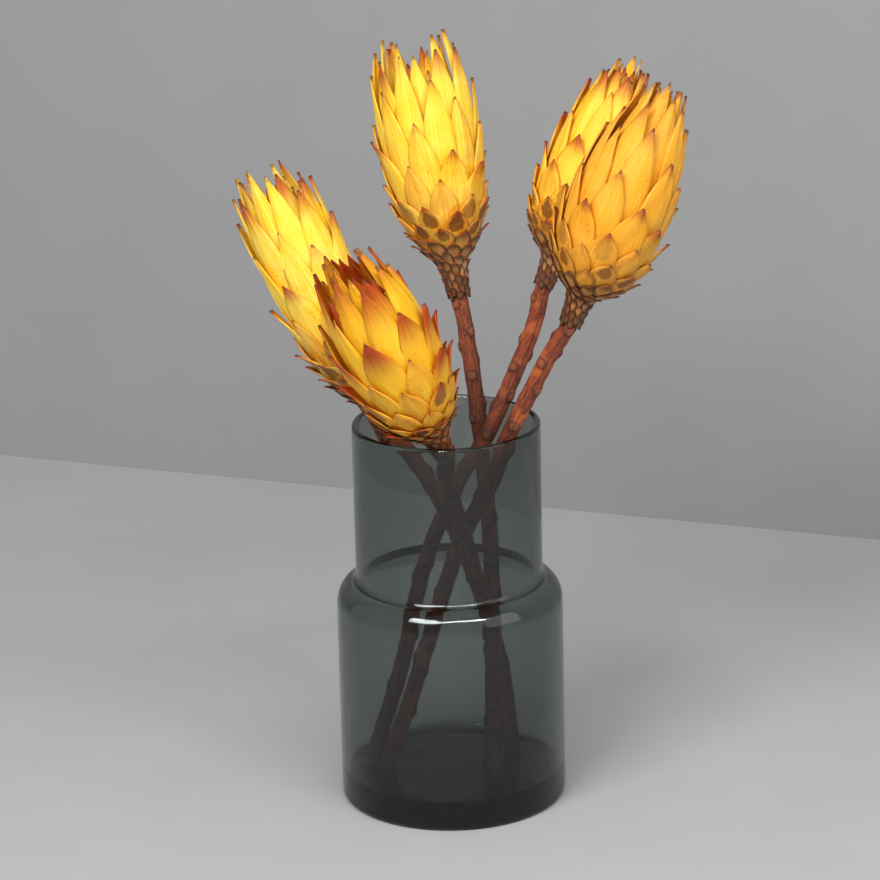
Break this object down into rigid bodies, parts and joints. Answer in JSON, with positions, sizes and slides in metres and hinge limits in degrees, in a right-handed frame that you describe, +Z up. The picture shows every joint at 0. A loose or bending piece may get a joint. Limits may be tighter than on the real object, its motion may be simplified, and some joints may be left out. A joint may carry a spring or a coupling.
{
  "type": "dried protea flowers in a glass vase",
  "caption": "Dried yellow protea flowers with overlapping pointed bracts on woody brown stems, standing crossed in a smoked-glass vase with a wide body and a narrower neck.",
  "frame": {"origin": "centre of the vase's foot, on the plane it stands on", "axes": "+Z up along the vase's axis, -Y the front, +X right"},
  "size_m": [0.1926, 0.1591, 0.3319],
  "materials": {
    "smoked_glass": "clear smoked grey-green glass, polished, thick base",
    "bark": "rough reddish-brown bark with leaf scars",
    "base_scales": "dry, matt, tan with dark brown edges",
    "outer_bracts": "dry, matt, ochre with maroon-brown spots and tips",
    "middle_bracts": "dry, waxy, golden yellow with orange-brown tips",
    "inner_bracts": "dry, waxy, lemon yellow with orange-brown tips",
    "florets": "dry brown bristles with whitish hairs"
  },
  "bodies": {
    "root": {"vase": "smoked_glass", "stem_middle": "bark", "base_scales_middle": "base_scales", "outer_bracts_middle": "outer_bracts", "middle_bracts_middle": "middle_bracts", "inner_bracts_middle": "inner_bracts", "florets_middle": "florets", "stem_right_rear": "bark", "base_scales_right_rear": "base_scales", "outer_bracts_right_rear": "outer_bracts", "middle_bracts_right_rear": "middle_bracts", "inner_bracts_right_rear": "inner_bracts", "florets_right_rear": "florets", "stem_right_front": "bark", "base_scales_right_front": "base_scales", "outer_bracts_right_front": "outer_bracts", "middle_bracts_right_front": "middle_bracts", "inner_bracts_right_front": "inner_bracts", "florets_right_front": "florets", "stem_left_front": "bark", "base_scales_left_front": "base_scales", "outer_bracts_left_front": "outer_bracts", "middle_bracts_left_front": "middle_bracts", "inner_bracts_left_front": "inner_bracts", "florets_left_front": "florets", "stem_left_rear": "bark", "base_scales_left_rear": "base_scales", "outer_bracts_left_rear": "outer_bracts", "middle_bracts_left_rear": "middle_bracts", "inner_bracts_left_rear": "inner_bracts", "florets_left_rear": "florets"}
  },
  "joints": []
}
